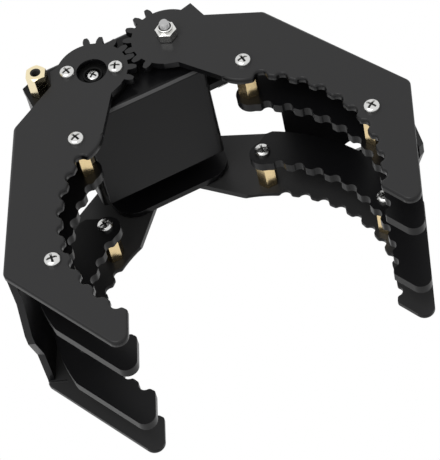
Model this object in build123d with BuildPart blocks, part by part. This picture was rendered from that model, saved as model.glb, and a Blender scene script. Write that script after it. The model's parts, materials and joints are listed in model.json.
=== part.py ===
from build123d import *
import math
import os

# A two-claw gripper driven by one standard servo. Lengths are in millimetres.
# X runs from the left pivot to the right one, the fingertips point to -Y, +Z is up.
# The origin is the middle of the bolt pattern on the outer face of the rear wall.

# Claws
pivot_spacing = 24.0
claw_height = 56.0
claw_sheet = 2.0
bend_radius = 0.8
jaw_plate = 3.0
arm_length = 50.4
arm_slope = 25.0
finger_length = 44.8
finger_slope = 25.5
tip_length = 14.2
tip_slope = 23.0
knuckle_x = -27.8
knuckle_y = -8.0
elbow_radius = 2.5
tip_radius = 3.0
tip_corner_radius = 1.0
right_claw_trim = 1.25

# Scalloped grip edge, about the middle of the gripped object
grip_from_elbow_x = 58.1
grip_from_elbow_y = -5.9
grip_radius = 39.8
scallop_radius = 1.8
scallop_depth = 1.45
land_rounding = 1.0
largest_rounding_share = 0.4
scallop_count = 10
scallop_first = 128.3
scallop_step = 8.8

# Jaw plates inside the claws
jaw_back_shift_x = 2.0
jaw_back_shift_y = -0.7
jaw_depth = 14.2
jaw_tab_radius = 4.3
jaw_tab_shift = -0.8
jaw_rear = [(2.8, 1.7), (-4.0, 5.5), (-6.6, 5.2)]

# Window and front edge of the claw's side wall
wall_start = 0.4
wall_short_of_elbow = 1.4
nose_reach = 3.5
nose_height = 4.0
nose_root_height = 25.0
window_from_end = 13.3
window_half = [(0.0, 7.2), (-10.0, 18.0), (-13.7, 17.6), (-10.6, 13.2), (-4.7, 5.5)]
relief_width = 0.8
elbow_gap = 1.2
relief_depth = 5.6

# Geared hubs of the two claws
gear_teeth = 18
gear_addendum = 1.0
gear_dedendum = 1.5
gear_backlash = 0.45
tooth_rounding = 0.45
root_rounding = 0.3
pressure_angle = 20.0
cut_teeth = 7
left_first_tooth = -45.0
right_first_tooth = -35.0
floor_hub_radius = 7.8
top_front_from_elbow = (42.9, 31.078)
top_hub_edge = [(1.6, -10.8), (5.5, -9.2)]
top_hub_rear = (-7.8, 7.0)
floor_front_from_elbow = (42.7, 30.378)
floor_hub_edge = [(6.0, -9.3), (6.0, -4.5)]
floor_hub_rear = (-8.5, 3.5)
left_shoulder = [(-10.4, 6.4), (-12.2, 1.2)]
right_shoulder = [(-11.3, 7.8), (-12.5, 1.3)]
hub_nose_from_elbow = (33.8, 35.178)
hub_nose_radius = 9.9

# Fasteners
screw_diameter = 2.9
screw_hole = 3.2
screw_head_diameter = 4.6
screw_head_height = 1.6
screw_bite = 4.5
hex_across_flats = 5.5
standoff_length = 11.0
standoff_bore = 3.0
post_from_edge = 4.8
first_post_angle = 120.7
second_post_angle = 176.0
nut_height = 2.0
running_clearance = 0.05
same_place = 0.01
seat_clearance = 0.1

# Folded frame
rear_face_to_pivots = 12.7
bolt_height = 27.0
frame_sheet = 2.0
frame_bend_radius = 1.4
plate_gap = 2.4
plate_right_edge = 2.25
plate_right_front = -9.0
plate_right_rear = 5.5
plate_corner_cut = 4.0
plate_shoulder = 2.5
plate_shoulder_rear = 9.0
fold_return = 2.5
rear_fold_margin = 2.0
wall_left = -20.5
wall_right = 15.6
front_wall_height = 35.4
base_bottom = 2.5
base_width = 38.0
base_corner_radius = 7.0
flange_rear = 9.0
flange_front = -4.0
flange_drop = 11.4
flange_relief = 3.0
bolt_spacing_x = 24.0
bolt_spacing_z = 20.0
bolt_hole = 3.2
frame_standoff_length = 8.1
standoff_ear = 1
standoff_turn = 3.0
standoff_thread = 2.5
standoff_thread_depth = 7.5
ear_spacer_radius = 2.4
screw_end = 0.8

# Servo
servo_length = 40.4
servo_width = 20.0
base_cover_height = 8.4
case_height = 21.1
gear_cover_height = 6.9
servo_wall = 1.7
servo_corner_radius = 1.2
output_offset = 10.0
ear_spacer_length = 10.0
ear_height = 18.1
ear_thickness = 2.5
ear_width = 18.4
ear_hole = 4.4
ear_hole_inset = 2.55
ear_hole_span_x = 49.5
ear_hole_span_y = 10.0
deck_drop = 6.1
deck_thickness = 2.0
boss_radius = 6.6
boss_height = 1.4
bearing_radius = 5.0
bearing_width = 3.0
output_shaft_radius = 3.0
case_screw_diameter = 2.0
case_screw_inset = 2.1
case_post_radius = 2.0

# Servo gear train
train_module = 0.5
wheel_teeth = 30
pinion_teeth = 10
train_backlash = 0.16
wheel_width = 2.0
output_gear_width = 3.6
train_gap = 0.5
motor_radius = 7.4
motor_height = 13.6
motor_shaft_radius = 1.0
sensor_radius = 6.0
sensor_height = 7.0
sensor_shaft_radius = 1.5
idler_pin_radius = 0.8
board_length = 34.0
board_width = 15.0
board_thickness = 1.6
lead_hole_radius = 2.2
grommet_lip = 0.8
case_screw_head_radius = 1.8
case_screw_head_height = 1.4
boss_lip_gap = 1.0
train_addendum = 0.3
train_dedendum = 0.45
spline_reach = 0.6
spline_hole_depth = 8.0
horn_screw_hole = 2.4
horn_screw_diameter = 2.3
horn_screw_head_diameter = 4.4
horn_screw_shank = 3.9
horn_recess_depth = 1.4

# Horn
horn_radius = 10.0
horn_thickness = 2.1
horn_boss_radius = 2.9
horn_boss_height = 0.55
horn_hub_radius = 4.4
horn_hub_depth = 3.2
horn_hole = 9.0
horn_hub_hole = 10.0
horn_screw_circle = 14.0
horn_screw_angle = -25.0
horn_spline_radius = 2.9
horn_recess_radius = 2.3
horn_screw_radius = 1.95

# Pivots
bush_radius = 2.5
bush_flange_radius = 4.5
pivot_stud_height = 5.0
washer_radius = 3.5
washer_thickness = 0.5

# Heights, counted like all heights below from the underside of the claws
pivot_x = pivot_spacing / 2
sheet_top = claw_height
sheet_bottom = claw_height - claw_sheet
upper_jaw_bottom = sheet_bottom - standoff_length - jaw_plate
lower_jaw_bottom = claw_sheet + standoff_length
plate_top = sheet_bottom - plate_gap
plate_bottom = plate_top - frame_sheet
wall_bottom = plate_bottom - front_wall_height
base_top = base_bottom + frame_sheet
ear_top = plate_bottom - ear_spacer_length
ear_bottom = ear_top - ear_thickness
case_bottom = ear_bottom - ear_height
servo_bottom = case_bottom - base_cover_height
case_top = case_bottom + case_height
servo_top = case_top + gear_cover_height
deck_top = case_top - deck_drop + deck_thickness
deck_bottom = deck_top - deck_thickness
wheel_bottom = deck_top + train_gap
output_gear_bottom = wheel_bottom + wheel_width + train_gap
output_gear_top = output_gear_bottom + output_gear_width
horn_bottom = sheet_bottom - horn_thickness
horn_top = sheet_bottom + horn_boss_height
boss_top = servo_top + boss_height
bearing_bottom = boss_top - servo_wall / 2 - bearing_width
lead_height = servo_bottom + base_cover_height / 2

# Places across, measured from the middle between the pivots
servo_x = -pivot_x + output_offset
lead_face = servo_x - servo_length / 2
idler_x = -pivot_x + train_module * (wheel_teeth + pinion_teeth) / 2
motor_x = idler_x + train_module * (wheel_teeth + pinion_teeth) / 2
wall_middle = (wall_left + wall_right) / 2
ear_length = ear_hole_span_x + 2 * ear_hole_inset
ear_holes = [(servo_x + sx * ear_hole_span_x / 2, sy * ear_hole_span_y / 2)
             for sx in (-1, 1) for sy in (-1, 1)]
flange_inner = ear_holes[0][0] - ear_spacer_radius - running_clearance
plate_left = flange_inner - frame_sheet
plate_right = ear_holes[-1][0] + plate_right_edge
pivots = [(-pivot_x, 0), (pivot_x, 0)]
horn_angle = math.radians(horn_screw_angle)
horn_screws = [(side * horn_screw_circle / 2 * math.cos(horn_angle),
                side * horn_screw_circle / 2 * math.sin(horn_angle)) for side in (-1, 1)]


def level(height, across=0.0, along=0.0):
    """A horizontal plane at a height, its own origin at a place from the pivots' middle."""
    return Plane(origin=(across, along - rear_face_to_pivots, height - bolt_height))


def polar(length, angle):
    """A step of a length in a direction given in degrees from +X."""
    return Vector(length * math.cos(math.radians(angle)), length * math.sin(math.radians(angle)))


# Corners of a claw's outer edge, from its own pivot
knuckle = Vector(knuckle_x, knuckle_y)
elbow = knuckle + polar(arm_length, -90 - arm_slope)
tip = elbow + polar(finger_length, -90 + finger_slope)
tip_inner = tip + polar(tip_length, 90 - tip_slope)

# Middle of the grip, the posts round it and the ends of the side wall
grip = elbow + Vector(grip_from_elbow_x, grip_from_elbow_y)
posts = [grip + polar(grip_radius + post_from_edge, angle)
         for angle in (first_post_angle, second_post_angle)]
jaw_tab = posts[0] + Vector(0, jaw_tab_shift)
top_front = elbow + Vector(*top_front_from_elbow)
floor_front = elbow + Vector(*floor_front_from_elbow)
hub_nose = elbow + Vector(*hub_nose_from_elbow)
wall_end = arm_length - wall_short_of_elbow
window_front = wall_end - window_from_end
land_width = math.radians(scallop_step) * grip_radius - 2 * scallop_radius
scallop_ring = grip_radius + scallop_depth - scallop_radius
scallops = [grip + polar(scallop_ring, scallop_first + turn * scallop_step)
            for turn in range(scallop_count)]


def tooth_outline(teeth, module, addendum, dedendum, backlash):
    """One gear tooth about the X axis: involute flanks as chords, from inside the root."""
    pitch = teeth * module / 2
    base = pitch * math.cos(math.radians(pressure_angle))
    root = pitch - dedendum
    tip_circle = pitch + addendum
    half_pitch_angle = math.pi / (2 * teeth) - backlash / (4 * pitch)
    turn = math.tan(math.radians(pressure_angle)) - math.radians(pressure_angle)
    flank = []
    for radius in (root - 0.5 * module * dedendum, root, max(root, base), pitch, tip_circle):
        contact = math.acos(min(1.0, base / radius))
        half = half_pitch_angle + turn - (math.tan(contact) - contact)
        flank.append((radius * math.cos(half), radius * math.sin(half)))
    return [(x, -y) for x, y in flank] + flank[::-1]


def gear_profile(teeth, module, addendum, dedendum, backlash, first=0.0, count=None):
    """Add a whole gear, or a disc with only some of its teeth, to the open sketch."""
    Circle(teeth * module / 2 - dedendum)
    count = count or teeth
    with PolarLocations(0, count, start_angle=first, angular_range=360 * count / teeth):
        Polygon(*tooth_outline(teeth, module, addendum, dedendum, backlash), align=None)


def round_teeth(sketch, first):
    """Round the tips of a claw's teeth, and the roots between them, about the sketch's origin."""
    span = (cut_teeth - 1) * 360 / gear_teeth
    tips = [corner for corner in sketch.vertices()
            if abs(Vector(corner).length - pivot_x - gear_addendum) < same_place]
    fillet(tips, tooth_rounding)
    roots = [corner for corner in sketch.vertices()
             if abs(Vector(corner).length - pivot_x + gear_dedendum) < same_place
             and 0 < math.degrees(math.atan2(corner.Y, corner.X)) - first < span]
    fillet(roots, root_rounding)


def grip_edge(sketch, nose_radius=0.0):
    """Cut the round grip opening and its scallops, with rounded lands, out of the open sketch."""
    with Locations(grip):
        Circle(grip_radius, mode=Mode.SUBTRACT)
    if nose_radius:
        with Locations(hub_nose):
            Circle(nose_radius)
    with Locations(*scallops):
        Circle(scallop_radius, mode=Mode.SUBTRACT)
    rims = [rim for rim in sketch.vertices()
            if min(abs((Vector(rim) - scallop).length - scallop_radius)
                   for scallop in scallops) < same_place]
    fillet(rims, min(land_rounding, largest_rounding_share * land_width))
    fillet(sketch.vertices().sort_by_distance(tip_inner)[0], tip_corner_radius)


def finger_outline(*rear):
    """Add the elbow and finger, closed through the grip's middle and the rear points."""
    Polygon(knuckle, elbow, tip, tip_inner, grip, *rear, align=None)


def round_outer_corners(sketch):
    """Round the elbow and the fingertip."""
    for corner, radius in ((elbow, elbow_radius), (tip, tip_radius)):
        fillet(sketch.vertices().sort_by_distance(corner)[0], radius)


def pan_screw(shank, head_radius=screw_head_diameter / 2, shank_radius=screw_diameter / 2):
    """A screw standing on its shank's end side down: head above the local XY plane."""
    with BuildPart() as screw:
        Cylinder(head_radius, screw_head_height, align=(Align.CENTER, Align.CENTER, Align.MIN))
        fillet(screw.edges().filter_by(GeomType.CIRCLE).sort_by(Axis.Z)[-1], screw_head_height / 2)
        Cylinder(shank_radius, shank, align=(Align.CENTER, Align.CENTER, Align.MAX))
    return screw.part


def claw_level(height):
    """A horizontal plane whose own origin is on the left claw's pivot."""
    return level(height, -pivot_x)


def claw_wall_plane():
    """The outer face of the left claw's side wall: X along the arm, Y up, from the knuckle."""
    start = claw_level(0).from_local_coords(knuckle)
    along = polar(1, -90 - arm_slope)
    return Plane(origin=start, x_dir=along, z_dir=along.cross(Vector(0, 0, 1)))


def wall_outline():
    """Add the side wall, with its pointed front edge, to the open sketch and cut its window out."""
    middle = claw_height / 2
    nose = wall_end + nose_reach
    Polygon((wall_start, 0), (wall_end, 0), (wall_end, middle - nose_root_height / 2),
            (nose, middle - nose_height / 2), (nose, middle + nose_height / 2),
            (wall_end, middle + nose_root_height / 2), (wall_end, claw_height),
            (wall_start, claw_height), align=None)
    upper = [(window_front + x, middle + y) for x, y in window_half]
    lower = [(window_front + x, middle - y) for x, y in window_half]
    Polygon(*upper, *lower[::-1], align=None, mode=Mode.SUBTRACT)


def left_claw(first_tooth, shoulder, hub_hole, hub_screws=()):
    """Top plate with its gear, side wall and floor plate, folded from one sheet."""
    arm_direction = polar(1, -90 - arm_slope)
    with BuildPart() as claw:
        with BuildSketch(claw_level(sheet_bottom)) as top:
            finger_outline(top_front, *top_hub_edge, (0, 0), top_hub_rear, *shoulder)
            grip_edge(top, hub_nose_radius)
            round_outer_corners(top)
            gear_profile(gear_teeth, pivot_spacing / gear_teeth, gear_addendum, gear_dedendum,
                         gear_backlash, first_tooth, cut_teeth)
            round_teeth(top, first_tooth)
        extrude(amount=claw_sheet)
        with BuildSketch(claw_level(0)) as floor:
            finger_outline(floor_front, *floor_hub_edge, (0, 0), floor_hub_rear)
            grip_edge(floor)
            round_outer_corners(floor)
            Circle(floor_hub_radius)
        extrude(amount=claw_sheet)
        with BuildSketch(claw_wall_plane()):
            wall_outline()
        extrude(amount=-claw_sheet)
        wall = claw_wall_plane()
        folds = (claw.edges().filter_by(Axis((0, 0, 0), tuple(arm_direction)))
                 .filter_by(lambda edge: edge.length > arm_length / 2)
                 .filter_by(lambda edge: abs(wall.to_local_coords(edge.center()).Z) < same_place)
                 .sort_by(Axis.Z))
        fillet([folds[0], folds[-1]], bend_radius)
        with BuildSketch(claw_level(0)):
            slot = knuckle + arm_direction * (wall_end + elbow_gap / 2)
            with Locations(Location(tuple(slot), (0, 0, -90 - arm_slope))):
                Rectangle(relief_width, 2 * relief_depth)
        extrude(amount=claw_sheet, mode=Mode.SUBTRACT)
        with Locations(claw_level(claw_height)):
            Hole(hub_hole / 2, depth=claw_sheet)
            with Locations(*posts):
                Hole(screw_hole / 2, depth=claw_sheet)
            for place in hub_screws:
                with Locations(place):
                    Hole(horn_screw_hole / 2, depth=claw_sheet)
        with Locations(claw_level(claw_sheet)):
            Hole(bush_radius + running_clearance, depth=claw_sheet)
            with Locations(*posts):
                Hole(screw_hole / 2, depth=claw_sheet)
    return claw.part


def jaw_plate_part(bottom):
    """A flat crescent with the scalloped grip edge and a round tab at its rear post."""
    with BuildPart() as jaw:
        with BuildSketch(claw_level(bottom)) as outline:
            finger_outline(*[posts[0] + Vector(x, y) for x, y in jaw_rear])
            with Locations(grip + Vector(jaw_back_shift_x, jaw_back_shift_y)):
                Circle(grip_radius + jaw_depth, mode=Mode.INTERSECT)
            grip_edge(outline)
            fillet(outline.vertices().sort_by_distance(tip)[0], tip_radius)
            with Locations(jaw_tab):
                Circle(jaw_tab_radius)
        extrude(amount=jaw_plate)
        with Locations(claw_level(bottom + jaw_plate)):
            with Locations(*posts):
                Hole(screw_hole / 2, depth=jaw_plate)
    return jaw.part


def standoffs(bottom):
    """The hexagonal brass posts of one gap between two plates."""
    with BuildPart() as group:
        with BuildSketch(claw_level(bottom)):
            with Locations(*posts):
                RegularPolygon(hex_across_flats / 2, 6, major_radius=False)
                Circle(standoff_bore / 2, mode=Mode.SUBTRACT)
        extrude(amount=standoff_length)
    return group.part


def claw_screws():
    """Pan head screws through the four plates into the posts."""
    seats = [(sheet_top, 1), (upper_jaw_bottom, -1), (lower_jaw_bottom + jaw_plate, 1), (0, -1)]
    grips = [claw_sheet, jaw_plate, jaw_plate, claw_sheet]
    with BuildPart() as group:
        for (seat, way), grip in zip(seats, grips):
            for post in posts:
                spot = claw_level(seat).from_local_coords(post)
                with Locations(Plane(origin=spot, z_dir=(0, 0, way))):
                    add(pan_screw(grip + screw_bite))
    return group.part


def right_hand(piece):
    """The same piece on the right claw: mirrored, and opened a little by the trim."""
    pivot = Axis((pivot_x, -rear_face_to_pivots, 0), (0, 0, 1))
    return mirror(piece, about=Plane.YZ).rotate(pivot, right_claw_trim)


def write_piece(piece, name):
    """Label a finished piece and write it under its own name."""
    piece.label = name
    export_step(piece, f"parts/{name}.step")


os.makedirs("parts", exist_ok=True)

# Claws: the right gear's teeth stand so that they mesh in spite of the trim
write_piece(left_claw(left_first_tooth, left_shoulder, horn_hole, horn_screws), "left_claw_channel")
write_piece(right_hand(left_claw(right_first_tooth + right_claw_trim, right_shoulder,
                                 2 * (bush_radius + running_clearance))), "right_claw_channel")
for side, placed in (("left", lambda piece: piece), ("right", right_hand)):
    write_piece(placed(jaw_plate_part(upper_jaw_bottom)), f"{side}_upper_jaw_plate")
    write_piece(placed(jaw_plate_part(lower_jaw_bottom)), f"{side}_lower_jaw_plate")
    write_piece(placed(standoffs(upper_jaw_bottom + jaw_plate)), f"{side}_upper_standoffs")
    write_piece(placed(standoffs(claw_sheet)), f"{side}_lower_standoffs")
    write_piece(placed(claw_screws()), f"{side}_claw_screws")

# Frame: top plate, front wall, end flange, rear wall and base plate folded from one sheet
front_face = -rear_face_to_pivots
inner_rear = rear_face_to_pivots - frame_sheet
with BuildPart() as servo_frame:
    with BuildSketch(level(plate_bottom)) as top_plate:
        Polygon((plate_left, flange_front - plate_corner_cut),
                (plate_left + plate_corner_cut, front_face + fold_return),
                (wall_left, front_face + fold_return), (wall_left, front_face),
                (wall_right, front_face), (wall_right, front_face + fold_return),
                (plate_right, plate_right_front), (plate_right, plate_right_rear),
                (plate_right - plate_shoulder, plate_shoulder_rear),
                (wall_right + rear_fold_margin, rear_face_to_pivots),
                (wall_left - rear_fold_margin, rear_face_to_pivots),
                (plate_left, flange_rear), align=None)
    extrude(amount=frame_sheet)
    with BuildSketch(level(wall_bottom)):
        with Locations((wall_middle, front_face + frame_sheet / 2)):
            Rectangle(wall_right - wall_left, frame_sheet)
    extrude(amount=plate_bottom - wall_bottom)
    with BuildSketch(level(base_bottom)):
        with Locations((0, inner_rear + frame_sheet / 2)):
            Rectangle(base_width, frame_sheet)
    extrude(amount=plate_bottom - base_bottom)
    with BuildSketch(level(base_bottom)) as base:
        Rectangle(base_width, 2 * rear_face_to_pivots)
        fillet(base.vertices().group_by(Axis.Y)[0], base_corner_radius)
    extrude(amount=frame_sheet)
    with BuildSketch(level(plate_bottom)):
        with Locations(((plate_left + flange_inner) / 2, (flange_front + flange_rear) / 2)):
            Rectangle(frame_sheet, flange_rear - flange_front - flange_relief)
    extrude(amount=-(flange_drop - frame_sheet))
    folds = [servo_frame.edges().filter_by(Axis.X).group_by(Axis.Y)[0].sort_by(Axis.Z)[-1],
             servo_frame.edges().filter_by(Axis.X).group_by(Axis.Y)[-1].sort_by(Axis.Z)[-1],
             servo_frame.edges().filter_by(Axis.X).group_by(Axis.Y)[-1].sort_by(Axis.Z)[0]]
    fillet(folds, frame_bend_radius)
    with Locations(level(plate_top)):
        with Locations((-pivot_x, 0)):
            Hole(horn_hub_hole / 2, depth=frame_sheet)
        with Locations((pivot_x, 0), *ear_holes):
            Hole(screw_hole / 2, depth=frame_sheet)
    with Locations(level(base_top)):
        with Locations(*pivots):
            Hole(screw_hole / 2, depth=frame_sheet)
    with Locations(Plane(origin=(0, 0, 0), x_dir=(-1, 0, 0), z_dir=(0, 1, 0))):
        with GridLocations(bolt_spacing_x, bolt_spacing_z, 2, 2):
            Hole(bolt_hole / 2, depth=frame_sheet)
write_piece(servo_frame.part, "servo_frame")

# Servo: three housings stacked on four long screws, ears on the middle one
case_screws = [(servo_x + sx * (servo_length / 2 - case_screw_inset),
                sy * (servo_width / 2 - case_screw_inset)) for sx in (-1, 1) for sy in (-1, 1)]


def housing_profile():
    """Add a housing's outer rectangle with rounded corners to the open sketch."""
    with Locations((servo_x, 0)):
        RectangleRounded(servo_length, servo_width, servo_corner_radius)


def room_profile():
    """Add the room inside a housing, less a post at each case screw."""
    with Locations((servo_x, 0)):
        Rectangle(servo_length - 2 * servo_wall, servo_width - 2 * servo_wall)
    with Locations(*case_screws):
        Circle(case_post_radius, mode=Mode.SUBTRACT)


def screw_profile(radius, mode=Mode.ADD):
    """Add a circle at each case screw to the open sketch, or cut it out."""
    with Locations(*case_screws):
        Circle(radius, mode=mode)


screw_bore = case_screw_diameter / 2 + running_clearance
with BuildPart() as servo_base_cover:
    with BuildSketch(level(servo_bottom)):
        housing_profile()
    extrude(amount=base_cover_height)
    with BuildSketch(level(servo_bottom + servo_wall)):
        room_profile()
    extrude(amount=base_cover_height - servo_wall, mode=Mode.SUBTRACT)
    with BuildSketch(level(servo_bottom)):
        screw_profile(screw_bore)
    extrude(amount=base_cover_height, mode=Mode.SUBTRACT)
    with BuildSketch(level(servo_bottom)):
        screw_profile(case_screw_head_radius + seat_clearance)
    extrude(amount=case_screw_head_height, mode=Mode.SUBTRACT)
    with BuildSketch(Plane(level(lead_height, lead_face).origin, x_dir=(0, 1, 0), z_dir=(1, 0, 0))):
        Circle(lead_hole_radius)
    extrude(amount=servo_wall, mode=Mode.SUBTRACT)
write_piece(servo_base_cover.part, "servo_base_cover")

with BuildPart() as servo_case:
    with BuildSketch(level(case_bottom)):
        housing_profile()
    extrude(amount=case_height)
    with BuildSketch(level(ear_bottom)):
        with Locations((servo_x, 0)):
            RectangleRounded(ear_length, ear_width, servo_corner_radius)
    extrude(amount=ear_thickness)
    with BuildSketch(level(case_bottom)):
        room_profile()
    extrude(amount=deck_bottom - case_bottom, mode=Mode.SUBTRACT)
    with BuildSketch(level(deck_top)):
        room_profile()
    extrude(amount=case_top - deck_top, mode=Mode.SUBTRACT)
    with BuildSketch(level(case_bottom)):
        screw_profile(screw_bore)
    extrude(amount=case_height, mode=Mode.SUBTRACT)
    with BuildSketch(level(deck_bottom)):
        with Locations((-pivot_x, 0)):
            Circle(sensor_shaft_radius + seat_clearance)
        with Locations((motor_x, 0)):
            Circle(motor_shaft_radius + seat_clearance)
        with Locations((idler_x, 0)):
            Circle(idler_pin_radius)
    extrude(amount=deck_thickness, mode=Mode.SUBTRACT)
    with Locations(level(ear_top)):
        with Locations(*ear_holes):
            Hole(ear_hole / 2, depth=ear_thickness)
write_piece(servo_case.part, "servo_case")

with BuildPart() as servo_gear_cover:
    with BuildSketch(level(case_top)):
        housing_profile()
    extrude(amount=gear_cover_height)
    with BuildSketch(level(case_top)):
        room_profile()
    extrude(amount=gear_cover_height - servo_wall, mode=Mode.SUBTRACT)
    with BuildSketch(level(bearing_bottom)):
        with Locations((-pivot_x, 0)):
            Circle(boss_radius)
    extrude(amount=boss_top - bearing_bottom)
    with BuildSketch(level(bearing_bottom)):
        with Locations((-pivot_x, 0)):
            Circle(bearing_radius)
    extrude(amount=bearing_width, mode=Mode.SUBTRACT)
    with BuildSketch(level(bearing_bottom)):
        with Locations((-pivot_x, 0)):
            Circle(output_shaft_radius + boss_lip_gap)
    extrude(amount=boss_top - bearing_bottom, mode=Mode.SUBTRACT)
    with BuildSketch(level(case_top)):
        screw_profile(screw_bore)
    extrude(amount=gear_cover_height / 2, mode=Mode.SUBTRACT)
    with BuildSketch(level(servo_top - servo_wall)):
        with Locations((idler_x, 0)):
            Circle(idler_pin_radius)
    extrude(amount=servo_wall / 2, mode=Mode.SUBTRACT)
write_piece(servo_gear_cover.part, "servo_gear_cover")

with BuildPart() as servo_case_screws:
    shank_bottom = servo_bottom + case_screw_head_height
    with BuildSketch(level(shank_bottom)):
        screw_profile(case_screw_diameter / 2)
    extrude(amount=case_top + gear_cover_height / 2 - shank_bottom)
    with BuildSketch(level(servo_bottom)):
        screw_profile(case_screw_head_radius)
    extrude(amount=case_screw_head_height)
write_piece(servo_case_screws.part, "servo_case_screws")

with BuildPart() as servo_lead_grommet:
    with BuildSketch(Plane(level(lead_height, lead_face).origin, x_dir=(0, 1, 0), z_dir=(1, 0, 0))):
        Circle(lead_hole_radius)
        Circle(lead_hole_radius / 2, mode=Mode.SUBTRACT)
    extrude(amount=servo_wall)
    with BuildSketch(Plane(level(lead_height, lead_face).origin, x_dir=(0, 1, 0), z_dir=(1, 0, 0))):
        Circle(lead_hole_radius + grommet_lip)
        Circle(lead_hole_radius / 2, mode=Mode.SUBTRACT)
    extrude(amount=-grommet_lip)
write_piece(servo_lead_grommet.part, "servo_lead_grommet")

# Inside the servo: motor, control board, position sensor and gear train
with BuildPart() as servo_motor:
    with BuildSketch(level(deck_bottom)):
        with Locations((motor_x, 0)):
            Circle(motor_radius)
            Circle(motor_shaft_radius + running_clearance, mode=Mode.SUBTRACT)
    extrude(amount=-motor_height)
write_piece(servo_motor.part, "servo_motor")

with BuildPart() as position_sensor:
    with BuildSketch(level(deck_bottom)):
        with Locations((-pivot_x, 0)):
            Circle(sensor_radius)
            Circle(sensor_shaft_radius + running_clearance, mode=Mode.SUBTRACT)
    extrude(amount=-sensor_height)
write_piece(position_sensor.part, "position_sensor")

with BuildPart() as control_board:
    with BuildSketch(level(servo_bottom + servo_wall)):
        with Locations((servo_x, 0)):
            Rectangle(board_length, board_width)
        screw_profile(case_post_radius + seat_clearance, Mode.SUBTRACT)
    extrude(amount=board_thickness)
write_piece(control_board.part, "control_board")

with BuildPart() as idler_pin:
    with BuildSketch(level(deck_bottom)):
        with Locations((idler_x, 0)):
            Circle(idler_pin_radius)
    extrude(amount=servo_top - servo_wall / 2 - deck_bottom)
write_piece(idler_pin.part, "idler_pin")

with BuildPart() as idler_gear:
    with BuildSketch(level(wheel_bottom, idler_x)):
        gear_profile(wheel_teeth, train_module, train_addendum, train_dedendum, train_backlash)
    extrude(amount=wheel_width)
    with BuildSketch(level(wheel_bottom + wheel_width, idler_x)):
        gear_profile(pinion_teeth, train_module, train_addendum, train_dedendum, train_backlash,
                     180 / pinion_teeth)
    extrude(amount=output_gear_top - wheel_bottom - wheel_width)
    with Locations(level(output_gear_top, idler_x)):
        Hole(idler_pin_radius + running_clearance, depth=output_gear_top - wheel_bottom)
write_piece(idler_gear.part, "idler_gear")

with BuildPart() as motor_pinion:
    with BuildSketch(level(wheel_bottom, motor_x)):
        gear_profile(pinion_teeth, train_module, train_addendum, train_dedendum, train_backlash,
                     180 / pinion_teeth)
    extrude(amount=wheel_width)
    with BuildSketch(level(wheel_bottom, motor_x)):
        Circle(motor_shaft_radius)
    extrude(amount=-(wheel_bottom - deck_bottom + motor_height / 2))
write_piece(motor_pinion.part, "motor_pinion")

with BuildPart() as output_gear_shaft:
    with BuildSketch(level(output_gear_bottom, -pivot_x)):
        gear_profile(wheel_teeth, train_module, train_addendum, train_dedendum, train_backlash)
    extrude(amount=output_gear_width)
    with BuildSketch(level(output_gear_top, -pivot_x)):
        Circle(output_shaft_radius)
    extrude(amount=horn_bottom - output_gear_top)
    with BuildSketch(level(horn_bottom, -pivot_x)):
        Circle(horn_spline_radius)
    extrude(amount=spline_reach)
    with BuildSketch(level(output_gear_bottom, -pivot_x)):
        Circle(sensor_shaft_radius)
    extrude(amount=-(output_gear_bottom - deck_bottom + sensor_height - servo_wall))
    with Locations(level(horn_bottom + spline_reach, -pivot_x)):
        Hole(horn_screw_hole / 2, depth=spline_hole_depth)
write_piece(output_gear_shaft.part, "output_gear_shaft")

with BuildPart() as output_bearing:
    with BuildSketch(level(bearing_bottom, -pivot_x)):
        Circle(bearing_radius)
        Circle(output_shaft_radius + running_clearance, mode=Mode.SUBTRACT)
    extrude(amount=bearing_width)
write_piece(output_bearing.part, "output_bearing")

# Horn on the servo's output, screwed to the left claw from above
with BuildPart() as servo_horn:
    with BuildSketch(level(horn_bottom, -pivot_x)):
        Circle(horn_radius)
    extrude(amount=horn_thickness)
    with BuildSketch(level(sheet_bottom, -pivot_x)):
        Circle(horn_boss_radius)
    extrude(amount=horn_boss_height)
    with BuildSketch(level(horn_bottom, -pivot_x)):
        Circle(horn_hub_radius)
    extrude(amount=-horn_hub_depth)
    with BuildSketch(level(horn_bottom - horn_hub_depth, -pivot_x)):
        Circle(output_shaft_radius + running_clearance)
    extrude(amount=horn_hub_depth + spline_reach, mode=Mode.SUBTRACT)
    with BuildSketch(level(horn_bottom, -pivot_x)):
        Circle(horn_screw_hole / 2)
    extrude(amount=horn_thickness, mode=Mode.SUBTRACT)
    with BuildSketch(level(horn_top, -pivot_x)):
        Circle(horn_recess_radius)
    extrude(amount=-horn_recess_depth, mode=Mode.SUBTRACT)
    with BuildSketch(level(horn_bottom, -pivot_x)):
        with Locations(*horn_screws):
            Circle(horn_screw_hole / 2)
    extrude(amount=horn_thickness, mode=Mode.SUBTRACT)
write_piece(servo_horn.part, "servo_horn")

with BuildPart() as horn_screw_pair:
    for x, y in horn_screws:
        with Locations(Plane(origin=claw_level(sheet_top).from_local_coords(Vector(x, y)))):
            add(pan_screw(horn_screw_shank, horn_screw_head_diameter / 2, horn_screw_diameter / 2))
write_piece(horn_screw_pair.part, "horn_screws")

with BuildPart() as horn_centre_screw:
    with Locations(claw_level(horn_top - horn_recess_depth)):
        add(pan_screw(spline_hole_depth - horn_recess_depth, horn_screw_radius, horn_screw_diameter / 2))
write_piece(horn_centre_screw.part, "horn_centre_screw")


def nuts(height, places):
    """Hexagon nuts standing on a height."""
    with BuildPart() as group:
        with BuildSketch(level(height)):
            with Locations(*places):
                RegularPolygon(hex_across_flats / 2, 6, major_radius=False)
                Circle(standoff_bore / 2, mode=Mode.SUBTRACT)
        extrude(amount=nut_height)
    return group.part


def rings(height, places, outer, length):
    """Plain rings for an M3 screw, standing on a height."""
    with BuildPart() as group:
        with BuildSketch(level(height)):
            with Locations(*places):
                Circle(outer)
                Circle(standoff_bore / 2, mode=Mode.SUBTRACT)
        extrude(amount=length)
    return group.part


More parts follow.
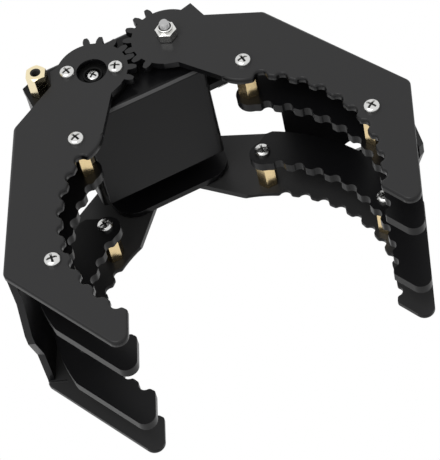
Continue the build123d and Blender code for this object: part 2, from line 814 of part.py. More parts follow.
def screws(height, places, way, shank):
    """Pan head screws with their heads on a height, standing up or hanging down."""
    with BuildPart() as group:
        for x, y in places:
            spot = level(height).from_local_coords(Vector(x, y))
            with Locations(Plane(origin=spot, z_dir=(0, 0, way))):
                add(pan_screw(shank))
    return group.part


# Servo mounting: spacers between the ears and the top plate, screws and nuts
plain_ear_holes = [place for place in ear_holes if place != ear_holes[standoff_ear]]
ear_screw_reach = plate_top - ear_bottom + nut_height + screw_end
write_piece(rings(ear_top, ear_holes, ear_spacer_radius, plate_bottom - ear_top), "ear_spacers")
write_piece(screws(plate_top, plain_ear_holes, 1, ear_screw_reach), "ear_screws")
write_piece(nuts(ear_bottom - nut_height, ear_holes), "ear_nuts")

with BuildPart() as mounting_standoff:
    standoff_x, standoff_y = ear_holes[standoff_ear]
    with BuildSketch(level(plate_top)):
        with Locations((standoff_x, standoff_y)):
            RegularPolygon(hex_across_flats / 2, 6, major_radius=False, rotation=standoff_turn)
    extrude(amount=frame_standoff_length)
    with BuildSketch(level(plate_top)):
        with Locations((standoff_x, standoff_y)):
            Circle(screw_diameter / 2)
    extrude(amount=-ear_screw_reach)
    with Locations(level(plate_top + frame_standoff_length)):
        with Locations((standoff_x, standoff_y)):
            Hole(standoff_thread / 2, depth=standoff_thread_depth)
write_piece(mounting_standoff.part, "mounting_standoff")

# Upper pivot of the right claw: stud screw, flanged bush and nut
bush_top = sheet_top + seat_clearance
with BuildPart() as upper_pivot_bush:
    with BuildSketch(level(plate_top, pivot_x)):
        Circle(bush_flange_radius)
    extrude(amount=sheet_bottom - running_clearance - plate_top)
    with BuildSketch(level(plate_top, pivot_x)):
        Circle(bush_radius)
    extrude(amount=bush_top - plate_top)
    with Locations(level(bush_top, pivot_x)):
        Hole(standoff_bore / 2, depth=bush_top - plate_top)
write_piece(upper_pivot_bush.part, "upper_pivot_bush")
right_pivot = [(pivot_x, 0)]
stud_length = sheet_top + pivot_stud_height - plate_bottom
write_piece(screws(plate_bottom, right_pivot, -1, stud_length), "upper_pivot_screw")
write_piece(nuts(bush_top, right_pivot), "upper_pivot_nut")

# Lower pivots of both claws: bush, washer, screw from below and nut on the base plate
lower_screw_reach = base_top + nut_height + screw_end
washer_top = -seat_clearance
write_piece(rings(washer_top, pivots, bush_radius, base_bottom - washer_top), "lower_pivot_bushes")
write_piece(rings(washer_top - washer_thickness, pivots, washer_radius, washer_thickness),
            "lower_pivot_washers")
write_piece(screws(washer_top - washer_thickness, pivots, -1,
                   lower_screw_reach - washer_top + washer_thickness), "lower_pivot_screws")
write_piece(nuts(base_top, pivots), "lower_pivot_nuts")
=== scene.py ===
import json
import math

import bmesh
import bpy
import numpy as np
from mathutils import Matrix, Vector


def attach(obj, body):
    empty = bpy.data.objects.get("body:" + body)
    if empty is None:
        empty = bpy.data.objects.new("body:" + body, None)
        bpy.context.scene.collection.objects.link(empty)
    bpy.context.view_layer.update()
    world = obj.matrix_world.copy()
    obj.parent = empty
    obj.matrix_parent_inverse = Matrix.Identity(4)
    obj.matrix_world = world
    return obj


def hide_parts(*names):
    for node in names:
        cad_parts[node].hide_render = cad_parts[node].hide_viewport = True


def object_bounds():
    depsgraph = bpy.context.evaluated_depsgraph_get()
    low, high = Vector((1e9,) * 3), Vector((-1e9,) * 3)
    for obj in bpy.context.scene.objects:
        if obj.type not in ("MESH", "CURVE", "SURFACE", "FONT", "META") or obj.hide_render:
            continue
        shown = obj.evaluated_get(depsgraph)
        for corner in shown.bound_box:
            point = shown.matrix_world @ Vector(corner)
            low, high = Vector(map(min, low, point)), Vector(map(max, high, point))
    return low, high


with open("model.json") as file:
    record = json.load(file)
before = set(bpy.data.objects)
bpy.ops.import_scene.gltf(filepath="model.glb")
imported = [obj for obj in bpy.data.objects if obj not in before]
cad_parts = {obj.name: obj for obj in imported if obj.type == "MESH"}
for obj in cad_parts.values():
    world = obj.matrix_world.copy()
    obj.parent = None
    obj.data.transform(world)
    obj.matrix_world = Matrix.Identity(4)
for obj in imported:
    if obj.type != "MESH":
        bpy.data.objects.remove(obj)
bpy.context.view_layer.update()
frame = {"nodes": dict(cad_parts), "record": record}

MM = 0.001

# The photograph's viewing angle
CAMERA_PLACE = Vector((-80.5, -388.7, 427.9)) * MM
CAMERA_HEADING = 12.66
CAMERA_ELEVATION = 52.9
CAMERA_ROLL = -15.45
FOCAL_PIXELS = 1928.5
FRAME_PIXELS = (440, 460)
PRINCIPAL_PIXEL = (204.2, 273.0)
SENSOR = 36.0
CLIP_START = 0.01

# Finishes: a sheet's three colours, for its flats, its sides and its folds, are painted light: lit
# flats, sides in painted shade, and a painted highlight on the frame's folds
BLACK_SHEET = (0.010, 0.010, 0.0105, 1)
BLACK_FRAME = (0.004, 0.004, 0.0045, 1)
SHEET_PAINTED_LIGHT = ((0.030, 0.030, 0.0305, 1), BLACK_FRAME, (0.020, 0.020, 0.0205, 1))
FRAME_PAINTED_FOLD_HIGHLIGHT = (BLACK_FRAME, BLACK_FRAME, (0.080, 0.080, 0.081, 1))
SIDE_SLOPE = 0.25
FLAT_SLOPE = 0.85
GRAIN_DETAIL = 2.0
CLOUD_SIZE = 60.0
CLOUD_DETAIL = 3.0
BUMP_DISTANCE = 0.2 * MM
BLACK_PLASTIC = (0.005, 0.005, 0.0055, 1)
BLACK_HORN = (0.003, 0.003, 0.003, 1)
BRASS = (0.77, 0.60, 0.33, 1)
PALE_BRASS = (0.86, 0.75, 0.50, 1)
STUD_STEEL = (0.46, 0.46, 0.46, 1)
NUT_STEEL = (0.72, 0.72, 0.70, 1)
STEEL = (0.66, 0.66, 0.65, 1)
# Painted shade in the screws' cross recesses, the lock nut's ring and the post's bore
RECESS_SHADE = (0.035, 0.035, 0.035, 1)
BOARD_GREEN = (0.03, 0.16, 0.07, 1)
SENSOR_GREY = (0.12, 0.12, 0.13, 1)
RUBBER = (0.012, 0.012, 0.012, 1)
PALE_FLOOR = (0.90, 0.90, 0.90, 1)
WHITE = (1, 1, 1, 1)

# Light and floor
WORLD_LIGHT = 0.6
KEY_PLACE = (-0.5, -0.3, 1.0)
KEY_SIZE = 0.7
KEY_WATTS = 6.0
FLOOR_DROP = 0.12
FLOOR_HALF = 3.0
FLOOR_ROUGHNESS = 0.8

# Meshes
AROUND = 96
EDGE_BREAK = 0.10 * MM
BREAK_SEGMENTS = 2
BREAK_ANGLE = 35
WELD_REACH = 0.002 * MM
SAME_POINT = 0.001 * MM
LEVEL_SLACK = 0.01 * MM
SMOOTH_ANGLE = 35
FACET_ANGLE = 14

# Screw heads: widths are shares of the head's radius, heights and depths shares of its height,
# and TURN_STEP is the angle in radians from one head's cross recess to the next one's
CROWN_STEPS = 25
RIM_STEPS = 6
HEAD_ROUNDING = 0.45
CROWN_HEIGHT = 0.12
RIM_HEIGHT = 0.55
ON_RIM = 0.98
SHANK_REACH = 0.75
RECESS_REACH = 0.60
RECESS_WIDTH = 0.13
RECESS_DEPTH = 0.72
RECESS_WALL = 0.05
RECESS_END = 0.12
# The share of a cross recess's depth past which it gets painted shade
PAINTED_SHADE_SHARE = 0.6
TURN_STEP = 0.9

# Threads, nut, stud and post: CHAMFER_CONE is in half widths over the flats, STUD_HEAD_EDGE in
# radii of the stud's head and BORE_REACH in radii of the post's bore
THREAD_PITCH = 0.5 * MM
THREAD_DEPTH = 0.16 * MM
THREAD_STEPS = 6
NUT_CHAMFER = 0.30 * MM
NUT_TURN = math.radians(30)
CHAMFER_LEVELS = (0, 0.25, 0.5, 0.75, 1.0)
CHAMFER_CONE = (0.93, 0.98, 1.03, 1.09, 1.16)
LOCK_NUT_HEIGHT = 3.0 * MM
COLLAR_RADIUS = 2.2 * MM
COLLAR_HEIGHT = 1.0 * MM
COLLAR_ROUNDING = 0.35 * MM
COLLAR_STEPS = 9
COLLAR_RING = 1.88 * MM
RING_DROP = 0.25 * MM
STUD_RISE = 1.0 * MM
STUD_CHAMFER = 0.4 * MM
STUD_HEAD_EDGE = 0.15
MOUTH_CHAMFER = 0.3 * MM
BORE_REACH = 1.02

# The jaw plates' screw tabs
TAB_CENTRES = {"left_claw": (-25.77 * MM, -34.73 * MM), "right_claw": (26.25 * MM, -34.43 * MM)}
TAB_RADIUS = 4.3 * MM
TAB_SLACK = 0.03 * MM
TAB_CORNER_REACH = 5.6 * MM
TAB_CORNER_ANGLES = (math.radians(-41), math.radians(-8))


def new_group(name, inputs, outputs):
    """An empty shader node group with named sockets, and its input and output nodes."""
    group = bpy.data.node_groups.new(name, "ShaderNodeTree")
    for label, kind, value in inputs:
        socket = group.interface.new_socket(name=label, in_out="INPUT", socket_type=kind)
        socket.default_value = value
    for label, kind in outputs:
        group.interface.new_socket(name=label, in_out="OUTPUT", socket_type=kind)
    return group, group.nodes.new("NodeGroupInput"), group.nodes.new("NodeGroupOutput")


def surface_grain_group():
    """Fine grain and broad cloudiness: a small bump and a roughness that varies with them."""
    group, put_in, put_out = new_group(
        "surface grain",
        [("Grain Size", "NodeSocketFloat", 2500.0), ("Grain Height", "NodeSocketFloat", 0.02),
         ("Roughness", "NodeSocketFloat", 0.4), ("Roughness Spread", "NodeSocketFloat", 0.06)],
        [("Roughness", "NodeSocketFloat"), ("Normal", "NodeSocketVector")])
    nodes, links = group.nodes, group.links
    place = nodes.new("ShaderNodeTexCoord")
    grain = nodes.new("ShaderNodeTexNoise")
    grain.inputs["Detail"].default_value = GRAIN_DETAIL
    cloud = nodes.new("ShaderNodeTexNoise")
    cloud.inputs["Scale"].default_value = CLOUD_SIZE
    cloud.inputs["Detail"].default_value = CLOUD_DETAIL
    both = nodes.new("ShaderNodeMath")
    both.operation = "ADD"
    centred = nodes.new("ShaderNodeMath")
    centred.operation = "SUBTRACT"
    centred.inputs[1].default_value = 1.0
    spread = nodes.new("ShaderNodeMath")
    spread.operation = "MULTIPLY_ADD"
    bump = nodes.new("ShaderNodeBump")
    bump.inputs["Distance"].default_value = BUMP_DISTANCE
    links.new(place.outputs["Object"], grain.inputs["Vector"])
    links.new(place.outputs["Object"], cloud.inputs["Vector"])
    links.new(put_in.outputs["Grain Size"], grain.inputs["Scale"])
    links.new(grain.outputs["Fac"], both.inputs[0])
    links.new(cloud.outputs["Fac"], both.inputs[1])
    links.new(both.outputs[0], centred.inputs[0])
    links.new(centred.outputs[0], spread.inputs[0])
    links.new(put_in.outputs["Roughness Spread"], spread.inputs[1])
    links.new(put_in.outputs["Roughness"], spread.inputs[2])
    links.new(grain.outputs["Fac"], bump.inputs["Height"])
    links.new(put_in.outputs["Grain Height"], bump.inputs["Strength"])
    links.new(spread.outputs[0], put_out.inputs["Roughness"])
    links.new(bump.outputs["Normal"], put_out.inputs["Normal"])
    return group


def painted_light_group():
    """Painted light and shade on a sheet: its colour by which way its face looks, for its flats,
    its sides and the folds between.

    The upright share of the object's own normal decides: a side is under SIDE_SLOPE, a flat is
    over FLAT_SLOPE, and a fold lies between them.
    """
    group, put_in, put_out = new_group(
        "sheet tone",
        [(label, "NodeSocketColor", (0.01, 0.01, 0.01, 1)) for label in ("Flat", "Side", "Fold")],
        [("Color", "NodeSocketColor")])
    nodes, links = group.nodes, group.links
    place = nodes.new("ShaderNodeTexCoord")
    split = nodes.new("ShaderNodeSeparateXYZ")
    upright = nodes.new("ShaderNodeMath")
    upright.operation = "ABSOLUTE"
    links.new(place.outputs["Normal"], split.inputs[0])
    links.new(split.outputs["Z"], upright.inputs[0])
    colour = put_in.outputs["Fold"]
    for operation, slope, label in (("GREATER_THAN", FLAT_SLOPE, "Flat"),
                                    ("LESS_THAN", SIDE_SLOPE, "Side")):
        mask = nodes.new("ShaderNodeMath")
        mask.operation = operation
        mask.inputs[1].default_value = slope
        mix = nodes.new("ShaderNodeMixRGB")
        links.new(upright.outputs[0], mask.inputs[0])
        links.new(mask.outputs[0], mix.inputs["Fac"])
        links.new(colour, mix.inputs["Color1"])
        links.new(put_in.outputs[label], mix.inputs["Color2"])
        colour = mix.outputs["Color"]
    links.new(colour, put_out.inputs["Color"])
    return group


GRAIN = surface_grain_group()
PAINTED_LIGHT_GROUP = painted_light_group()


def finish_material(name, colour, metallic, roughness, grain_size, grain_height, spread=0.06,
                    specular=0.5, painted_tones=None):
    """A Principled material with the shared grain's roughness and bump.

    With painted_tones, the shared painted sheet light group gives the colour, with light and shade
    painted by which way a face looks, and the plain colour is left for a program that doesn't read
    the group.
    """
    material = bpy.data.materials.new(name)
    material.use_nodes = True
    nodes, links = material.node_tree.nodes, material.node_tree.links
    shader = nodes["Principled BSDF"]
    shader.inputs["Base Color"].default_value = colour
    shader.inputs["Metallic"].default_value = metallic
    shader.inputs["Specular IOR Level"].default_value = specular
    grain = nodes.new("ShaderNodeGroup")
    grain.node_tree = GRAIN
    grain.inputs["Grain Size"].default_value = grain_size
    grain.inputs["Grain Height"].default_value = grain_height
    grain.inputs["Roughness"].default_value = roughness
    grain.inputs["Roughness Spread"].default_value = spread
    links.new(grain.outputs["Roughness"], shader.inputs["Roughness"])
    links.new(grain.outputs["Normal"], shader.inputs["Normal"])
    if painted_tones:
        tone = nodes.new("ShaderNodeGroup")
        tone.node_tree = PAINTED_LIGHT_GROUP
        for label, value in zip(("Flat", "Side", "Fold"), painted_tones):
            tone.inputs[label].default_value = value
        links.new(tone.outputs["Color"], shader.inputs["Base Color"])
    return material


# Each material's name, colour, metallic share, roughness, grain size and grain height
FINISHES = {
    # The sheets' colours carry painted light: lit flats, sides in painted shade and a painted
    # highlight on the frame's folds
    "black_sheet": finish_material("black anodised sheet", BLACK_SHEET, 0.0, 0.30, 3200.0, 0.05,
                                   specular=0.15, painted_tones=SHEET_PAINTED_LIGHT),
    "frame_sheet": finish_material("black frame sheet", BLACK_FRAME, 0.0, 0.34, 3200.0, 0.05,
                                   specular=0.15, painted_tones=FRAME_PAINTED_FOLD_HIGHLIGHT),
    "jaw_sheet": finish_material("black jaw sheet", BLACK_FRAME, 0.0, 0.34, 3200.0, 0.05,
                                 specular=0.18),
    "black_plastic": finish_material("moulded black plastic", BLACK_PLASTIC, 0.0, 0.5, 2200.0, 0.15,
                                     specular=0.3),
    "brass": finish_material("machined brass", BRASS, 1.0, 0.22, 1400.0, 0.04),
    "pale_brass": finish_material("pale brass", PALE_BRASS, 1.0, 0.20, 1400.0, 0.04),
    "steel": finish_material("plated steel", STEEL, 1.0, 0.24, 1800.0, 0.03, 0.04),
    "nut_steel": finish_material("bright nut", NUT_STEEL, 1.0, 0.22, 1800.0, 0.03, 0.04),
    "stud_steel": finish_material("stud steel", STUD_STEEL, 1.0, 0.30, 1800.0, 0.03, 0.04),
    "horn_metal": finish_material("black horn", BLACK_HORN, 0.0, 0.40, 2600.0, 0.05, specular=0.1),
    "black_spacer": finish_material("black spacer", BLACK_PLASTIC, 0.0, 0.40, 2600.0, 0.05,
                                    specular=0.3),
    "board_green": finish_material("board green", BOARD_GREEN, 0.0, 0.45, 1500.0, 0.05),
    "sensor_grey": finish_material("sensor grey", SENSOR_GREY, 0.0, 0.5, 1500.0, 0.05),
    "lead_rubber": finish_material("lead rubber", RUBBER, 0.0, 0.65, 1800.0, 0.20),
    # Painted shade for the screws' cross recesses, the lock nut's ring and the post's bore
    "recess": finish_material("shaded recess", RECESS_SHADE, 0.0, 0.6, 1800.0, 0.05, specular=0.1),
}
# The servo frame takes the sheet finish with the painted highlight on its folds
NODE_FINISHES = {
    "servo_frame": "frame_sheet",
    "ear_spacers": "black_spacer",
}


def break_edges(piece):
    """Merge a piece's loose triangles and break its sharp edges a little."""
    weld = piece.modifiers.new("weld", "WELD")
    weld.merge_threshold = WELD_REACH
    bevel = piece.modifiers.new("edge break", "BEVEL")
    bevel.width = EDGE_BREAK
    bevel.segments = BREAK_SEGMENTS
    bevel.limit_method = "ANGLE"
    bevel.angle_limit = math.radians(BREAK_ANGLE)
    bevel.harden_normals = True


def dress_node(node):
    """Give a CAD node its own finish or that of its slot, and break its sharp edges a little."""
    slot = next(s["material_slot"] for s in frame["record"]["subparts"] if s["node"] == node.name)
    slot = NODE_FINISHES.get(node.name, slot)
    for index in range(len(node.data.materials)):
        node.material_slots[index].link = "OBJECT"
        node.material_slots[index].material = FINISHES[slot]
    break_edges(node)


def node_triangles(name):
    """The corner points of a CAD node's mesh, and its triangles as rows of three indices."""
    mesh = frame["nodes"][name].data
    points = np.empty(len(mesh.vertices) * 3)
    mesh.vertices.foreach_get("co", points)
    mesh.calc_loop_triangles()
    faces = np.empty(len(mesh.loop_triangles) * 3, dtype=int)
    mesh.loop_triangles.foreach_get("vertices", faces)
    return points.reshape(-1, 3), faces.reshape(-1, 3)


def solids(name):
    """The separate solids of a CAD node, each as an array of its corner points.

    Corners in one place are one corner. Each takes the lowest label among its triangles'
    corners until no label changes, and every label left is a solid.
    """
    points, faces = node_triangles(name)
    places = np.round(points / SAME_POINT).astype(int)
    _, same = np.unique(places, axis=0, return_inverse=True)
    same = same.reshape(-1)
    faces = same[faces]
    label = np.arange(same.max() + 1)
    while True:
        lowest = label[faces].min(axis=1)
        new = label.copy()
        np.minimum.at(new, faces, lowest[:, None])
        if (new == label).all():
            break
        label = new
    label = label[same]
    return [points[label == value] for value in np.unique(label)]


def grid_faces(rows):
    """A closed surface from a grid of points, as its points and its four-cornered faces.

    The grid's rows run along the profile, and its columns close round the axis.
    """
    count, around = rows.shape[:2]
    points = rows.reshape(-1, 3)
    i, j = np.meshgrid(np.arange(count - 1), np.arange(around), indexing="ij")
    k = (j + 1) % around
    here, beyond = i * around, (i + 1) * around
    quads = np.stack([here + j, here + k, beyond + k, beyond + j], -1)
    return points, quads.reshape(-1, 4)


def put_in_scene(name, data):
    """A new object for a mesh, camera or lamp, linked to the scene."""
    thing = bpy.data.objects.new(name, data)
    bpy.context.scene.collection.objects.link(thing)
    return thing


def clean_mesh(mesh, smooth, turn_outward):
    """Merge corners that share a place, and shade the mesh smooth but for its sharp edges."""
    tidy = bmesh.new()
    tidy.from_mesh(mesh)
    bmesh.ops.remove_doubles(tidy, verts=tidy.verts, dist=WELD_REACH)
    if turn_outward:
        bmesh.ops.recalc_face_normals(tidy, faces=tidy.faces)
    tidy.to_mesh(mesh)
    tidy.free()
    mesh.shade_smooth()
    mesh.set_sharp_from_angle(angle=math.radians(smooth))


def ride_for(piece, body, stands_for):
    """Let a piece ride on a body, in place of a CAD node."""
    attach(piece, body)
    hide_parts(stands_for)
    return piece


def piece_from(name, parts, slot, body, stands_for, smooth=SMOOTH_ANGLE, finish=None):
    """One piece from several point grids, riding on a body in place of a CAD node.

    Each grid comes with a mask of the same shape, true at the points of its recess, whose faces get
    painted shade.
    """
    points, faces, dark, start = [], [], [], 0
    for rows, recess in parts:
        some_points, some_faces = grid_faces(rows)
        points.append(some_points)
        faces.append(some_faces + start)
        dark.append(recess.reshape(-1)[some_faces].all(axis=1))
        start += len(some_points)
    mesh = bpy.data.meshes.new(name)
    mesh.from_pydata(np.vstack(points).tolist(), [], np.vstack(faces).tolist())
    mesh.materials.append(FINISHES[finish or slot])
    mesh.materials.append(FINISHES["recess"])
    mesh.polygons.foreach_set("material_index", np.concatenate(dark).astype(np.int32))
    mesh.validate()
    piece = put_in_scene(name, mesh)
    clean_mesh(mesh, smooth, turn_outward=True)
    return ride_for(piece, body, stands_for)


def about_axis(points):
    """A solid's lowest and highest corner, its middle, and its points' distances from its axis."""
    low, high = points.min(axis=0), points.max(axis=0)
    centre = (low + high) / 2
    return low, high, centre, np.hypot(points[:, 0] - centre[0], points[:, 1] - centre[1])


def round_angles():
    """The even angles of a grid's columns round its axis."""
    return np.linspace(0, 2 * math.pi, AROUND, endpoint=False)


def screw_rows(points, turn):
    """A pan head screw: a profile turned about its axis, its top pressed in as a cross.

    The profile runs from the middle of the top over the rounded rim to the shank's end. The
    cross is as deep as the head's share RECESS_DEPTH, and fades over its slanted walls.
    """
    low, high, centre, reach = about_axis(points)
    radius = reach.max()
    on_head = points[reach > ON_RIM * radius]
    up = 1 if on_head[:, 2].mean() > centre[2] else -1
    shank = reach[reach < SHANK_REACH * radius].max()
    top = high[2] if up > 0 else low[2]
    seat = on_head[:, 2].min() if up > 0 else on_head[:, 2].max()
    end = low[2] if up > 0 else high[2]
    height = abs(top - seat)
    crown = np.linspace(0, 1, CROWN_STEPS)
    rim = np.linspace(0, math.pi / 2, RIM_STEPS + 1)[1:]
    flat = 1 - HEAD_ROUNDING
    r = np.concatenate([crown * flat * radius, (flat + HEAD_ROUNDING * np.sin(rim)) * radius,
                        [radius, shank, shank, 0]])
    drop = np.concatenate([CROWN_HEIGHT * height * crown ** 2,
                           CROWN_HEIGHT * height + RIM_HEIGHT * height * (1 - np.cos(rim)),
                           [height, height, abs(top - end), abs(top - end)]])
    angle = round_angles()
    x = r[:, None] * np.cos(angle)
    y = r[:, None] * np.sin(angle)
    across = np.minimum(np.abs(x), np.abs(y)) / radius
    along = np.maximum(np.abs(x), np.abs(y)) / radius
    wall = np.clip((RECESS_WIDTH - across) / RECESS_WALL, 0, 1)
    wall *= np.clip((RECESS_REACH - along) / RECESS_END, 0, 1)
    wall[CROWN_STEPS + RIM_STEPS:] = 0
    drop = drop[:, None] + wall * RECESS_DEPTH * height
    rows = np.stack([centre[0] + np.cos(turn) * x - np.sin(turn) * y,
                     centre[1] + np.sin(turn) * x + np.cos(turn) * y, top - up * drop], -1)
    # The deep part of the cross recess is marked for painted shade
    return rows, wall > PAINTED_SHADE_SHARE


def dress_screws(name, body, first_turn):
    """Every screw of a CAD node, each with its cross recess turned further than the last one's."""
    rows = [screw_rows(points, first_turn + TURN_STEP * index)
            for index, points in enumerate(solids(name))]
    return piece_from(name + "_crossed", rows, "steel", body, name)


def hexagon_rows(points, r, z, turn=0.0):
    """A profile turned about a solid's axis, nowhere wider than the solid's own hexagon.

    The hexagon's radius is its half width over the cosine of the angle from the nearest flat.
    """
    centre, reach = about_axis(points)[2:]
    corner = points[reach.argmax()] - centre
    flats = reach.max() * math.cos(math.pi / 6)
    angle = round_angles() + (math.atan2(corner[1], corner[0]) + turn)
    hexagon = flats / np.cos((angle - angle[0]) % (math.pi / 3) - math.pi / 6)
    radius = np.minimum(r[:, None], hexagon[None, :])
    return np.stack([centre[0] + radius * np.cos(angle), centre[1] + radius * np.sin(angle),
                     np.repeat(z[:, None], AROUND, axis=1)], -1)


def chamfered_sides(flats, low, high):
    """The radii and levels of a hexagon's side, cut back by a cone at both ends."""
    level = np.array(CHAMFER_LEVELS) * NUT_CHAMFER
    cone = flats * np.array(CHAMFER_CONE)
    return np.concatenate([cone, cone[::-1]]), np.concatenate([low + level, high - level[::-1]])


def thread_depth(z, angle):
    """A screw thread: a saw wave along the axis, carried round by a pitch in each turn."""
    phase = (z[:, None] / THREAD_PITCH - angle[None, :] / (2 * math.pi)) % 1
    return THREAD_DEPTH * np.abs(2 * phase - 1)


def lock_nut_rows(points):
    """A lock nut: a chamfered hexagon, a round collar on it and a ring round the thread in painted
    shade.
    """
    low, _, _, reach = about_axis(points)
    flats, bore = reach.max() * math.cos(math.pi / 6), reach.min()
    bottom = low[2]
    shoulder = bottom + LOCK_NUT_HEIGHT
    top = shoulder + COLLAR_HEIGHT
    side, level = chamfered_sides(flats, bottom, shoulder)
    bend = np.linspace(0, math.pi / 2, COLLAR_STEPS)
    r = np.concatenate([[bore], side, [COLLAR_RADIUS],
                        COLLAR_RADIUS - COLLAR_ROUNDING * (1 - np.cos(bend)),
                        [COLLAR_RING, COLLAR_RING, bore, bore]])
    z = np.concatenate([[bottom], level, [shoulder],
                        top - COLLAR_ROUNDING * (1 - np.sin(bend)),
                        [top, top - RING_DROP, top - RING_DROP, bottom]])
    recess = np.zeros((len(r), AROUND), dtype=bool)
    # The ring's faces get painted shade
    recess[-3:-1] = True
    return hexagon_rows(points, r, z, NUT_TURN), recess


def stud_rows(points):
    """The pivot screw: a plain head below, and a shank that ends in a thread with a cut end."""
    low, high, centre, reach = about_axis(points)
    radius = reach.max()
    bevel = STUD_HEAD_EDGE * radius
    seat = points[reach > ON_RIM * radius][:, 2].max()
    shank = reach[points[:, 2] > high[2] - LEVEL_SLACK].max()
    top = high[2] + STUD_RISE
    z = np.arange(seat + LEVEL_SLACK, top - STUD_CHAMFER, THREAD_PITCH / THREAD_STEPS)
    angle = round_angles()
    ones = np.ones(AROUND)
    r = np.vstack([np.outer([0, radius - bevel, radius, radius, shank], ones),
                   shank - thread_depth(z, angle),
                   np.outer([shank - STUD_CHAMFER, 0], ones)])
    z = np.concatenate([[low[2], low[2], low[2] + bevel, seat, seat], z, [top, top]])
    rows = np.stack([centre[0] + r * np.cos(angle), centre[1] + r * np.sin(angle),
                     np.repeat(z[:, None], AROUND, axis=1)], -1)
    return rows, np.zeros(r.shape, dtype=bool)


def post_rows(points):
    """The mounting post: a chamfered hexagon on its stud, with a threaded bore in its top in
    painted shade.
    """
    low, high, centre, reach = about_axis(points)
    flats = reach.max() * math.cos(math.pi / 6)
    top = high[2]
    base = points[reach > ON_RIM * reach.max()][:, 2].min()
    bore = reach[points[:, 2] > top - LEVEL_SLACK].min()
    between = (points[:, 2] > base + LEVEL_SLACK) & (points[:, 2] < top - MM)
    bottom = points[between & (reach < BORE_REACH * bore)][:, 2].min()
    stud = reach[points[:, 2] < base - LEVEL_SLACK].max()
    side, level = chamfered_sides(flats, base, top)
    z_thread = np.arange(top - MOUTH_CHAMFER, bottom, -THREAD_PITCH / THREAD_STEPS)
    r = np.concatenate([[0, stud, stud], side, [bore + MOUTH_CHAMFER],
                        np.full(len(z_thread), bore), [bore, 0]])
    z = np.concatenate([[low[2], low[2], base], level, [top], z_thread, [bottom, bottom]])
    rows = hexagon_rows(points, r, z)
    first = 4 + len(side)
    angle = np.arctan2(rows[first, :, 1] - centre[1], rows[first, :, 0] - centre[0])
    crest = bore - thread_depth(z_thread, angle)
    thread = rows[first:first + len(z_thread)]
    thread[:, :, 0] = centre[0] + crest * np.cos(angle)
    thread[:, :, 1] = centre[1] + crest * np.sin(angle)
    recess = np.zeros(rows.shape[:2], dtype=bool)
    # The mouth and the threaded bore get painted shade
    recess[first - 1:] = True
    return rows, recess


def draw_in_tab(points, body):
    """Make a jaw plate's screw tab round: the points that stand out beyond its circle move in.

    A point's new place is the circle's middle plus the radius times its own direction.
    """
    away = points[:, :2] - np.array(TAB_CENTRES[body])
    reach = np.hypot(away[:, 0], away[:, 1])
    inward = away[:, 0] if body == "left_claw" else -away[:, 0]
    angle = np.arctan2(away[:, 1], inward)
    corner = (reach > TAB_RADIUS + TAB_SLACK) & (reach < TAB_CORNER_REACH)
    corner &= (angle > TAB_CORNER_ANGLES[0]) & (angle < TAB_CORNER_ANGLES[1])
    points[corner, :2] += away[corner] * (TAB_RADIUS / reach[corner] - 1)[:, None]


def jaw_plate(name, body):
    """A jaw plate on its CAD node's own triangles, with its screw tab made round."""
    points, faces = node_triangles(name)
    draw_in_tab(points, body)
    mesh = bpy.data.meshes.new(name + "_round_tab")
    mesh.from_pydata(points.tolist(), [], faces.tolist())
    mesh.materials.append(FINISHES["jaw_sheet"])
    piece = put_in_scene(mesh.name, mesh)
    clean_mesh(mesh, SMOOTH_ANGLE, turn_outward=False)
    break_edges(piece)
    even = piece.modifiers.new("even flats", "WEIGHTED_NORMAL")
    even.keep_sharp = True
    even.weight = 100
    return ride_for(piece, body, name)


JAW_PLATES = {
    "left_upper_jaw_plate": "left_claw",
    "left_lower_jaw_plate": "left_claw",
    "right_upper_jaw_plate": "right_claw",
    "right_lower_jaw_plate": "right_claw",
}
# Each set of screws, the body it rides on and the angle of its first cross recess
SCREWS = {
    "left_claw_screws": ("left_claw", 0.3),
    "right_claw_screws": ("right_claw", 0.5),
    "horn_screws": ("left_claw", 0.2),
    "horn_centre_screw": ("left_claw", 0.6),
    "ear_screws": ("frame", 0.4),
    "lower_pivot_screws": ("frame", 0.1),
}
# Each other node of small hardware on the frame, its new piece's name, rows, slot and finish
HARDWARE = {
    "upper_pivot_nut": ("upper_pivot_lock_nut", lock_nut_rows, "steel", "nut_steel"),
    "upper_pivot_screw": ("upper_pivot_stud", stud_rows, "steel", "stud_steel"),
    "mounting_standoff": ("mounting_post", post_rows, "brass", "pale_brass"),
}
for name, body in JAW_PLATES.items():
    jaw_plate(name, body)
for name, (body, first_turn) in SCREWS.items():
    dress_screws(name, body, first_turn)
for name, (piece_name, rows_of, slot, finish) in HARDWARE.items():
    piece_from(piece_name, [rows_of(points) for points in solids(name)], slot, "frame", name,
               FACET_ANGLE, finish)
for name, node in frame["nodes"].items():
    if name not in JAW_PLATES and name not in SCREWS and name not in HARDWARE:
        dress_node(node)


def add_camera():
    """The camera at the photograph's place, turned by heading, elevation and roll."""
    heading, elevation, roll = map(math.radians, (CAMERA_HEADING, CAMERA_ELEVATION, CAMERA_ROLL))
    forward = Vector((math.sin(heading) * math.cos(elevation),
                      math.cos(heading) * math.cos(elevation), -math.sin(elevation)))
    level_right = Vector((math.cos(heading), -math.sin(heading), 0))
    level_up = level_right.cross(forward)
    right = level_right * math.cos(roll) + level_up * math.sin(roll)
    up = level_up * math.cos(roll) - level_right * math.sin(roll)
    camera = put_in_scene("camera", bpy.data.cameras.new("camera"))
    turn = Matrix((right, up, -forward)).transposed().to_4x4()
    camera.matrix_world = Matrix.Translation(CAMERA_PLACE) @ turn
    camera.data.sensor_width = SENSOR
    camera.data.lens = FOCAL_PIXELS * SENSOR / FRAME_PIXELS[1]
    camera.data.shift_x = (FRAME_PIXELS[0] / 2 - PRINCIPAL_PIXEL[0]) / FRAME_PIXELS[1]
    camera.data.shift_y = (PRINCIPAL_PIXEL[1] - FRAME_PIXELS[1] / 2) / FRAME_PIXELS[1]
    camera.data.clip_start = CLIP_START
    bpy.context.scene.camera = camera


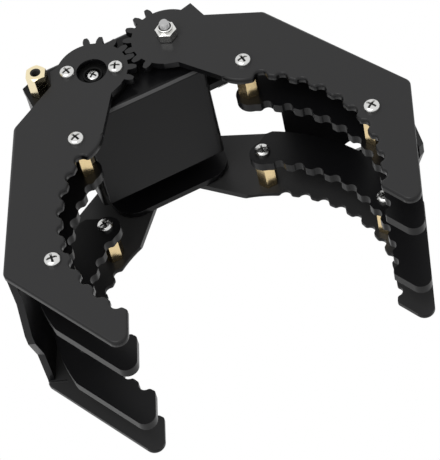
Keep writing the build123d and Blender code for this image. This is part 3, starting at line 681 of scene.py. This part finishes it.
def white_to_the_eye(tree, white_type, shade_socket, output_socket):
    """Show plain white to camera, mirror and glass rays, and the shaded surface to the rest."""
    nodes, links = tree.nodes, tree.links
    path = nodes.new("ShaderNodeLightPath")
    first = nodes.new("ShaderNodeMath")
    first.operation = "MAXIMUM"
    second = nodes.new("ShaderNodeMath")
    second.operation = "MAXIMUM"
    links.new(path.outputs["Is Camera Ray"], first.inputs[0])
    links.new(path.outputs["Is Glossy Ray"], first.inputs[1])
    links.new(first.outputs[0], second.inputs[0])
    links.new(path.outputs["Is Transmission Ray"], second.inputs[1])
    white = nodes.new(white_type)
    white.inputs["Color"].default_value = WHITE
    white.inputs["Strength"].default_value = 1.0
    mix = nodes.new("ShaderNodeMixShader")
    links.new(second.outputs[0], mix.inputs[0])
    links.new(shade_socket, mix.inputs[1])
    links.new(white.outputs[0], mix.inputs[2])
    links.new(mix.outputs[0], output_socket)


def add_world():
    """Even studio light from all round, seen as white."""
    world = bpy.data.worlds.new("studio")
    bpy.context.scene.world = world
    world.use_nodes = True
    nodes = world.node_tree.nodes
    nodes["Background"].inputs["Color"].default_value = WHITE
    nodes["Background"].inputs["Strength"].default_value = WORLD_LIGHT
    white_to_the_eye(world.node_tree, "ShaderNodeBackground", nodes["Background"].outputs[0],
                     nodes["World Output"].inputs["Surface"])


def add_floor():
    """A wide pale floor well under the part."""
    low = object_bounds()[0][2] - FLOOR_DROP
    corners = [(x * FLOOR_HALF, y * FLOOR_HALF, low)
               for x, y in ((-1, -1), (1, -1), (1, 1), (-1, 1))]
    mesh = bpy.data.meshes.new("floor")
    mesh.from_pydata(corners, [], [(0, 1, 2, 3)])
    floor = put_in_scene("floor", mesh)
    material = bpy.data.materials.new("pale floor")
    material.use_nodes = True
    shader = material.node_tree.nodes["Principled BSDF"]
    shader.inputs["Base Color"].default_value = PALE_FLOOR
    shader.inputs["Roughness"].default_value = FLOOR_ROUGHNESS
    white_to_the_eye(material.node_tree, "ShaderNodeEmission", shader.outputs[0],
                     material.node_tree.nodes["Material Output"].inputs["Surface"])
    mesh.materials.append(material)


def add_softbox(name, place, size, watts):
    """A square soft lamp aimed at the part."""
    light = bpy.data.lights.new(name, "AREA")
    light.size = size
    light.energy = watts
    lamp = put_in_scene(name, light)
    lamp.location = place
    lamp.rotation_euler = (-Vector(place)).to_track_quat("-Z", "Y").to_euler()


add_camera()
add_world()
add_floor()
add_softbox("key", KEY_PLACE, KEY_SIZE, KEY_WATTS)
bpy.context.scene.view_settings.view_transform = "Standard"
